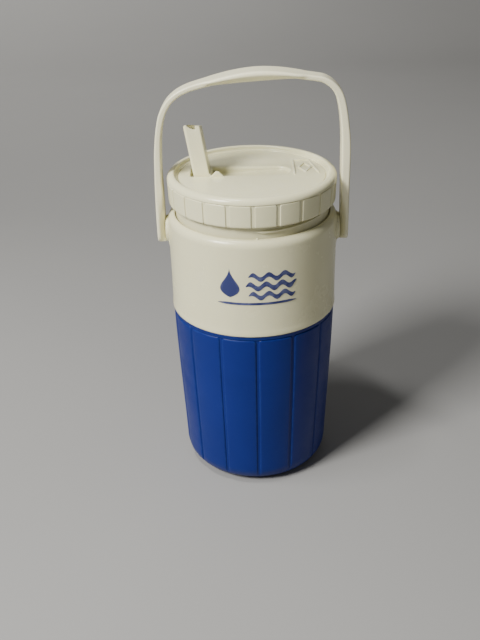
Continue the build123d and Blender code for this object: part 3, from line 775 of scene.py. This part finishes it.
# small tapered ear at the trough's front edge
lid_prism("spout_guard_ear", [(-33.6, 264.2), (-20.9, 264.2), (-25.9, 269.0), (-28.3, 269.4)],
          start=-4.6, end=-7.1, axis="y", bevel=0.6, segments=3)

# ------------------------------------------------------------------ spout
# Drawn upright with the hinge axis at the origin, then turned and set in place.
SPOUT_LENGTH = 47.4
SPOUT_CENTRE_X = -3.3
SPOUT_HALF_X, SPOUT_HALF_Y = 6.5, 9.5
SPOUT_TILT = math.radians(-9.0)
LIP_X, LIP_RADIUS = -7.5, 2.3
RIM_FALL = 0.27                      # per mm toward +Y

# (z, scale of the outline); the foot below the hinge shrinks to a small ring
SPOUT_STATIONS = [
    (-2.0, 0.05), (-2.0, 0.9), (-1.93, 0.955), (-1.75, 0.985), (-1.45, 1.0), (0.8, 1.0),
    (4.0, 1.0), (12.0, 1.0), (22.0, 1.0), (31.0, 1.0), (SPOUT_LENGTH, 1.0)]
# (x, z) of the scoop between the left lip and the square post
SCOOP = [(-7.35, 60.0), (-7.1, 45.4), (-6.5, 44.4), (-5.6, 43.4), (-4.6, 42.5), (-3.6, 41.75),
         (-2.7, 41.2), (-1.8, 40.8), (-1.1, 40.6), (-0.5, 40.5), (-0.5, 60.0)]


def spout_cutter(outline, fall):
    """Shape drawn as (x, z), run from front to back and falling by fall per mm."""
    return solid([[(x, y, z - fall * (y + SPOUT_HALF_Y)) for x, z in outline]
                  for y in (-13.0, 13.0)], turn_start=False)


def rim_z(x):
    """Height of the rim at its front edge, falling toward the right."""
    return 43.6 - 0.23 * (x - 1.5)


def build_spout():
    outline = np.array(rounded_rectangle(SPOUT_HALF_X, SPOUT_HALF_Y, 0.9))
    soft = np.array(rounded_rectangle(SPOUT_HALF_X, SPOUT_HALF_Y, 2.1))
    outline = np.where(outline[:, :1] < 0, soft, outline)    # larger radius on the left edges
    rings = []
    for z, scale in SPOUT_STATIONS:
        scale_y = scale if scale < 0.5 else 1 - (1 - scale) * 0.7
        rings.append([(x * scale + SPOUT_CENTRE_X, y * scale_y, z) for x, y in outline])
    spout = solid(rings, "flip_spout", turn_start=False)

    # hollow, closed at the bottom by the knuckle
    bore = rounded_rectangle(3.8, 7.5, 2.4)
    boolean(spout, solid([[(x + SPOUT_CENTRE_X - 0.4, y, z) for x, y in bore]
                          for z in (12.0, 56.0)], turn_start=False))
    # rounded left lip, then a rim that falls toward the right and the back
    lip_z = rim_z(LIP_X) - LIP_RADIUS + 0.1
    lip = arc(LIP_X, lip_z, LIP_RADIUS, LIP_RADIUS, 180, 96, 7)
    above = [(-12.0, 62.0), (-12.0, lip_z - 0.01)] + lip + [(8.0, rim_z(8.0)), (8.0, 62.0)]
    boolean(spout, spout_cutter(above, RIM_FALL))
    boolean(spout, spout_cutter(SCOOP, 0.0))

    bevel = spout.modifiers.new("round", "BEVEL")
    bevel.width = 0.00036
    bevel.segments = 3
    bevel.limit_method = "ANGLE"
    bevel.angle_limit = math.radians(42)
    bevel.use_clamp_overlap = True
    apply_modifier(spout, bevel)

    # knuckle and hinge pin along Y, then the upright bore
    boolean(spout, cylinder(5.0, -9.5, 9.5, "y", (0.0, 0.0), 64), "UNION")
    boolean(spout, cylinder(2.2, -12.6, 12.6, "y", (0.0, 0.0), 40), "UNION")
    boolean(spout, cylinder(2.3, -12.0, 12.5, "z", (0.0, 0.0), 40))

    cos, sin = math.cos(SPOUT_TILT), math.sin(SPOUT_TILT)
    for vert in spout.data.vertices:
        x, y, z = vert.co
        vert.co = (HINGE_X * MM + x * cos + z * sin, y + HINGE_Y * MM,
                   HINGE_Z * MM - x * sin + z * cos)
    finish_mesh(spout, SPOUT, "spout", 34)
    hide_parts("spout")


build_spout()

# ------------------------------------------------------------------ handle
ARM_OUTER_X, ARM_INNER_X = 78.0, 71.3
FOOT_Z = 209.6
HANDLE_SECTIONS = 230

# outer x, outer z, inner x, inner z, half width, corner radius,
# from the right arm over the crown to the left
HANDLE_STATIONS = [
    (78.0, 236.0, 71.3, 236.0, 9.2, 1.5), (78.0, 247.0, 71.3, 247.0, 8.0, 1.5),
    (78.0, 262.0, 71.1, 262.0, 7.75, 1.5), (78.0, 281.0, 70.7, 281.0, 7.75, 1.5),
    (77.2, 295.5, 70.3, 294.5, 7.75, 1.5), (75.7, 307.0, 69.5, 305.0, 7.75, 1.5),
    (73.9, 317.5, 68.2, 314.6, 7.75, 1.4), (71.6, 326.2, 66.4, 322.6, 7.75, 1.4),
    (68.9, 331.6, 64.5, 327.9, 7.75, 1.4), (65.2, 335.9, 61.6, 332.3, 7.75, 1.4),
    (60.8, 339.2, 58.2, 335.3, 7.75, 1.4), (55.6, 341.5, 54.2, 337.5, 7.75, 1.4),
    (49.5, 342.6, 49.0, 338.7, 7.75, 1.4), (44.0, 343.4, 43.8, 339.4, 7.9, 1.4),
    (41.0, 343.9, 40.9, 339.75, 8.5, 1.5), (38.2, 344.35, 38.3, 339.9, 9.4, 1.7),
    (33.0, 345.2, 33.3, 340.0, 10.1, 2.0), (24.0, 346.5, 24.4, 339.8, 10.4, 2.3),
    (14.0, 347.3, 14.4, 339.3, 10.4, 2.5), (4.0, 347.3, 4.4, 338.7, 10.4, 2.6),
    (-6.0, 346.3, -5.4, 338.1, 10.4, 2.6), (-16.0, 344.6, -15.2, 337.3, 10.4, 2.4),
    (-25.0, 342.5, -24.0, 336.6, 10.2, 2.1), (-30.5, 341.1, -29.4, 336.2, 9.6, 1.8),
    (-33.5, 340.35, -32.3, 335.95, 8.7, 1.6), (-36.5, 339.6, -35.3, 335.4, 8.0, 1.5),
    (-42.0, 338.1, -40.6, 334.1, 7.75, 1.4), (-48.0, 336.2, -46.3, 332.5, 7.75, 1.4),
    (-54.0, 333.6, -51.8, 330.2, 7.75, 1.4), (-59.5, 330.2, -56.8, 327.0, 7.75, 1.4),
    (-64.5, 325.6, -61.0, 323.0, 7.75, 1.4), (-68.4, 320.0, -64.2, 318.0, 7.75, 1.4),
    (-71.2, 314.2, -66.6, 312.3, 7.75, 1.4), (-73.2, 306.5, -68.6, 305.0, 7.75, 1.5),
    (-75.0, 296.0, -70.2, 295.0, 7.75, 1.5), (-76.4, 283.0, -71.1, 283.0, 7.75, 1.5),
    (-77.2, 268.0, -71.6, 268.0, 7.75, 1.5), (-77.8, 252.0, -71.5, 252.0, 7.9, 1.5),
    (-78.0, 236.0, -71.3, 236.0, 9.2, 1.5)]
# heights of the sections below the stations
FOOT_SECTIONS = [FOOT_Z + rise for rise in (0, 0.25, 0.8, 1.6, 2.6, 3.8, 5.2, 6.6)]
FOOT_SECTIONS += [219.5, 224, 229, 232.5]
FOOT_INSETS = [0.6, 0.25]            # the foot's lowest sections are thinner


def catmull(points, t):
    """Catmull-Rom curve through the rows of points, t counted in rows."""
    points = np.asarray(points, float)
    last = len(points) - 1
    i = min(int(t), last - 1)
    u = t - i
    before, start, end, after = (points[max(i - 1, 0)], points[i], points[i + 1],
                                 points[min(i + 2, last)])
    return 0.5 * ((2 * start) + (-before + end) * u
                  + (2 * before - 5 * start + 4 * end - after) * u * u
                  + (-before + 3 * start - 3 * end + after) * u ** 3)


def foot_sections():
    """Sections of the right arm's rounded foot, in the columns of HANDLE_STATIONS."""
    sections = []
    for i, z in enumerate(FOOT_SECTIONS):
        u = min((z - FOOT_Z) / 6.5, 1.0)
        half_width = 3.6 + 6.4 * math.sqrt(max(1 - (1 - u) ** 2, 0))
        if z > 229:
            half_width = 10.0 - 0.8 * smooth((z - 229) / 7.0)
        inset = FOOT_INSETS[i] if i < len(FOOT_INSETS) else 0.0
        sections.append((ARM_OUTER_X - inset, z, ARM_INNER_X + inset, z, half_width, 1.5))
    return sections


def handle_ring(outer_x, outer_z, inner_x, inner_z, half_width, corner):
    outer, inner = np.array([outer_x, outer_z]), np.array([inner_x, inner_z])
    centre = (outer + inner) / 2
    normal = outer - inner
    half_thick = np.linalg.norm(normal) / 2
    normal = normal / (2 * half_thick)
    corner = min(corner, half_thick * 0.92)
    grip = min(max((half_width - 7.9) / 2.3, 0.0), 1.0)   # the grip's underside is rounded
    points = []
    for a, b in rounded_rectangle(half_thick, half_width, corner, corner_steps=6):
        under = max((0.35 * half_thick - a) / (1.35 * half_thick), 0.0)
        points.append((centre[0] + normal[0] * a, b * (1 - 0.6 * grip * under ** 1.5),
                       centre[1] + normal[1] * a))
    return points


def build_handle():
    right = foot_sections()
    over = [catmull(HANDLE_STATIONS, t)
            for t in np.linspace(0, len(HANDLE_STATIONS) - 1, HANDLE_SECTIONS)]
    left = [(-ox, oz, -ix, iz, width, corner) for ox, oz, ix, iz, width, corner in right[::-1]]
    handle = solid([handle_ring(*section) for section in [*right, *over, *left]],
                   "carry_handle", turn_start=False, turn_end=True)
    # pivot hole through each arm, and a shallow round recess in its outer face
    for side in (-1, 1):
        for radius, near, segments in ((4.05, 60, 48), (7.3, 76.2, 64)):
            start, end = sorted((side * near, side * 90))
            boolean(handle, cylinder(radius, start, end, "x", (0.0, HANDLE_PIVOT_Z), segments))
    finish_mesh(handle, HANDLE, "handle", 34)
    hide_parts("handle")


build_handle()

# ------------------------------------------------------------------ printed mark
INK_BACK, INK_FRONT = 68.86, 69.02   # radii of the ink layer
MARK_TURN = math.radians(-90 + 2.0)
MARK_Z = 196.5
MARK_STRETCH = 1.06                  # round the collar


def ink_plate(lines):
    """Closed thin plate on the collar through lines of (x, y), equal in length."""
    rows, cols = len(lines), len(lines[0])
    verts = []
    for radius in (INK_BACK, INK_FRONT):
        for line in lines:
            for x, y in line:
                a = MARK_TURN + x * MARK_STRETCH / COLLAR_RADIUS
                verts.append((radius * math.cos(a), radius * math.sin(a), MARK_Z + y))

    def at(layer, j, k):
        return layer * rows * cols + j * cols + k

    faces = []
    for j in range(rows - 1):
        for k in range(cols - 1):
            faces.append((at(1, j, k), at(1, j + 1, k), at(1, j + 1, k + 1), at(1, j, k + 1)))
            faces.append((at(0, j, k), at(0, j, k + 1), at(0, j + 1, k + 1), at(0, j + 1, k)))
        for k in (0, cols - 1):
            faces.append((at(0, j, k), at(0, j + 1, k), at(1, j + 1, k), at(1, j, k)))
    for j in (0, rows - 1):
        for k in range(cols - 1):
            faces.append((at(0, j, k), at(1, j, k), at(1, j, k + 1), at(0, j, k + 1)))
    return verts, faces


def droplet(x, bottom, height, width, steps=30, cols=12):
    """Pointed top and round belly."""
    lines = []
    for i in range(steps + 1):
        t = i / steps
        half = 0.02
        if 0 < t < 1:
            half = width * math.sin(PI * t ** 1.55) ** 0.9 * (0.35 + 0.65 * t)
        left, right = x - half, x + half
        y = bottom + height * (1 - t)
        lines.append([(left + (right - left) * k / cols, y) for k in range(cols + 1)])
    return ink_plate(lines)


def ribbon(y, start, end, thick, wave=1.9, samples=64, run_out=3.5, least=0.06, power=0.6):
    """Wavy stroke of the given amplitude, thinned to least of its thickness at the ends."""
    xs = np.linspace(start, end, samples)
    taper = np.clip(np.minimum(xs - start, end - xs) / run_out, least, 1) ** power
    middle = y + wave * np.sin((xs - start) * 2 * PI / 12.0)
    return ink_plate([list(zip(xs, middle + side * thick / 2 * taper)) for side in (1, -1)])


def print_mark():
    """Droplet beside three waves, over a straight line."""
    verts, faces = merge([
        droplet(x=-20.0, bottom=-8.2, height=24.5, width=9.4),
        ribbon(y=9.6, start=-6.0, end=29.5, thick=4.0),
        ribbon(y=1.7, start=-8.0, end=30.5, thick=4.4),
        ribbon(y=-6.4, start=-6.0, end=29.5, thick=4.0),
        ribbon(y=-13.4, start=-29.5, end=30.5, thick=2.0, wave=0.0, samples=72, run_out=6.0,
               least=0.08, power=0.7)])
    make_part("front_print_waves", verts, faces, PRINT, "jug", angle=30,
              weld=1e-7)


print_mark()

# ------------------------------------------------------------------ raised mark on the deck
# start (x, y), end (x, y), width: an open frame, then a diamond
DECK_BARS = [
    ((34.2, -4.0), (34.2, 31.0), 1.4), ((33.5, 31.0), (47.9, 31.0), 1.4),
    ((47.2, 31.0), (53.6, -1.6), 1.4), ((38.2, 13.0), (43.1, 24.0), 1.7),
    ((43.1, 24.0), (48.0, 13.0), 1.7), ((48.0, 13.0), (43.1, 2.0), 1.7),
    ((43.1, 2.0), (38.2, 13.0), 1.7)]


def deck_mark():
    for number, ((ax, ay), (bx, by), width) in enumerate(DECK_BARS, start=1):
        length = math.hypot(bx - ax, by - ay)
        px = -(by - ay) / length * width / 2
        py = (bx - ax) / length * width / 2
        outline = [(ax + px, ay + py), (ax - px, ay - py), (bx - px, by - py),
                   (bx + px, by + py)]
        lid_prism(f"deck_mark_{number}", outline, start=DECK_Z - 0.2, end=DECK_Z + 0.9,
                  axis="z", bevel=0.25, segments=2)


deck_mark()

# ------------------------------------------------------------------ CAD pieces that stay
CAD_MATERIALS = {
    "body_insulation": FOAM, "lid_insulation": FOAM, "lid_gasket": SEAL,
    "spout_seat_seal": SEAL, "foam_fill_plug": BLUE, "lid_liner": INNER,
    "handle_pivot_stud_left": HANDLE, "handle_pivot_stud_right": HANDLE}
for node_name, material in CAD_MATERIALS.items():
    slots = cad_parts[node_name].data.materials
    slots.clear()
    slots.append(material)


# ------------------------------------------------------------------ stage, in metres
def build_floor():
    """Floor that curves up into a back wall."""
    profile = [(-3.0, 0.0), (1.6, 0.0)] + arc(1.6, 0.9, 0.9, 0.9, -90, 0, 15, first=1)
    profile.append((2.5, 4.0))
    verts = [(x, y, z) for y, z in profile for x in (-5.0, 5.0)]
    faces = [(2 * i, 2 * i + 1, 2 * i + 3, 2 * i + 2) for i in range(len(profile) - 1)]
    mesh = bpy.data.meshes.new("studio_floor")
    mesh.from_pydata(verts, [], faces)
    floor = bpy.data.objects.new("studio_floor", mesh)
    COLLECTION.objects.link(floor)
    for polygon in mesh.polygons:
        polygon.use_smooth = True
    g = Shader("pale_floor")
    cloud = g.ramp(g.noise(scale=1.2), start=0.3, end=0.7)
    g.surface({
        "Base Color": g.mix(cloud, (0.315, 0.312, 0.306), (0.338, 0.335, 0.328)),
        "Roughness": g.ramp(g.noise(scale=3.0), start=0.3, end=0.7, low=0.55, high=0.7)})
    mesh.materials.append(g.material)


build_floor()


def area_light(name, location, target, size, power, colour, size_y=None):
    light = bpy.data.lights.new(name, "AREA")
    light.energy = power
    light.size = size
    if size_y:
        light.shape = "RECTANGLE"
        light.size_y = size_y
    light.color = colour
    obj = bpy.data.objects.new(name, light)
    obj.location = location
    obj.rotation_mode = "QUATERNION"
    aim = Vector(target) - Vector(location)
    obj.rotation_quaternion = aim.to_track_quat("-Z", "Y")
    COLLECTION.objects.link(obj)


area_light("key", location=(-1.02, -0.88, 1.34), target=(0, 0, 0.2), size=0.50, power=50,
           colour=(1.0, 0.985, 0.955))
area_light("strip", location=(-0.38, -0.22, 1.65), target=(0, 0, 0.25), size=0.36, power=10,
           colour=(1.0, 0.99, 0.97), size_y=0.10)
area_light("fill", location=(1.6, -1.2, 0.9), target=(0, 0, 0.2), size=1.6, power=0.8,
           colour=(1.0, 0.99, 0.98))
area_light("back", location=(-0.9, 1.2, 1.3), target=(-0.5, 2.4, 0.9), size=0.8, power=18,
           colour=(1.0, 0.985, 0.95))

WORLD_COLOUR = (0.66, 0.66, 0.65, 1)
WORLD_STRENGTH = 0.185
world = bpy.data.worlds.new("studio")
bpy.context.scene.world = world
world.use_nodes = True
background = world.node_tree.nodes["Background"]
background.inputs[0].default_value = WORLD_COLOUR
background.inputs[1].default_value = WORLD_STRENGTH

# ------------------------------------------------------------------ camera
CAMERA_DISTANCE = 0.652              # in front of the jug's axis
CAMERA_HEIGHT = 0.4919
LENS, SENSOR_WIDTH = 47.8125, 36.0   # millimetres
HEADING = math.radians(-1.09)        # from +Y toward +X
PITCH = math.radians(28.95)          # downward
ROLL = math.radians(1.5)


def build_camera():
    ahead = Vector((math.sin(HEADING), math.cos(HEADING), 0))
    level = Vector((math.cos(HEADING), -math.sin(HEADING), 0))
    forward = ahead * math.cos(PITCH) + Vector((0, 0, -math.sin(PITCH)))
    upright = ahead * math.sin(PITCH) + Vector((0, 0, math.cos(PITCH)))
    right = level * math.cos(ROLL) - upright * math.sin(ROLL)
    up = level * math.sin(ROLL) + upright * math.cos(ROLL)
    camera = bpy.data.objects.new("camera", bpy.data.cameras.new("camera"))
    COLLECTION.objects.link(camera)
    camera.data.sensor_width = SENSOR_WIDTH
    camera.data.lens = LENS
    camera.matrix_world = Matrix(((right.x, up.x, -forward.x, 0.0),
                                  (right.y, up.y, -forward.y, -CAMERA_DISTANCE),
                                  (right.z, up.z, -forward.z, CAMERA_HEIGHT),
                                  (0, 0, 0, 1)))
    camera.data.clip_start = 0.01
    camera.data.clip_end = 50
    bpy.context.scene.camera = camera


build_camera()
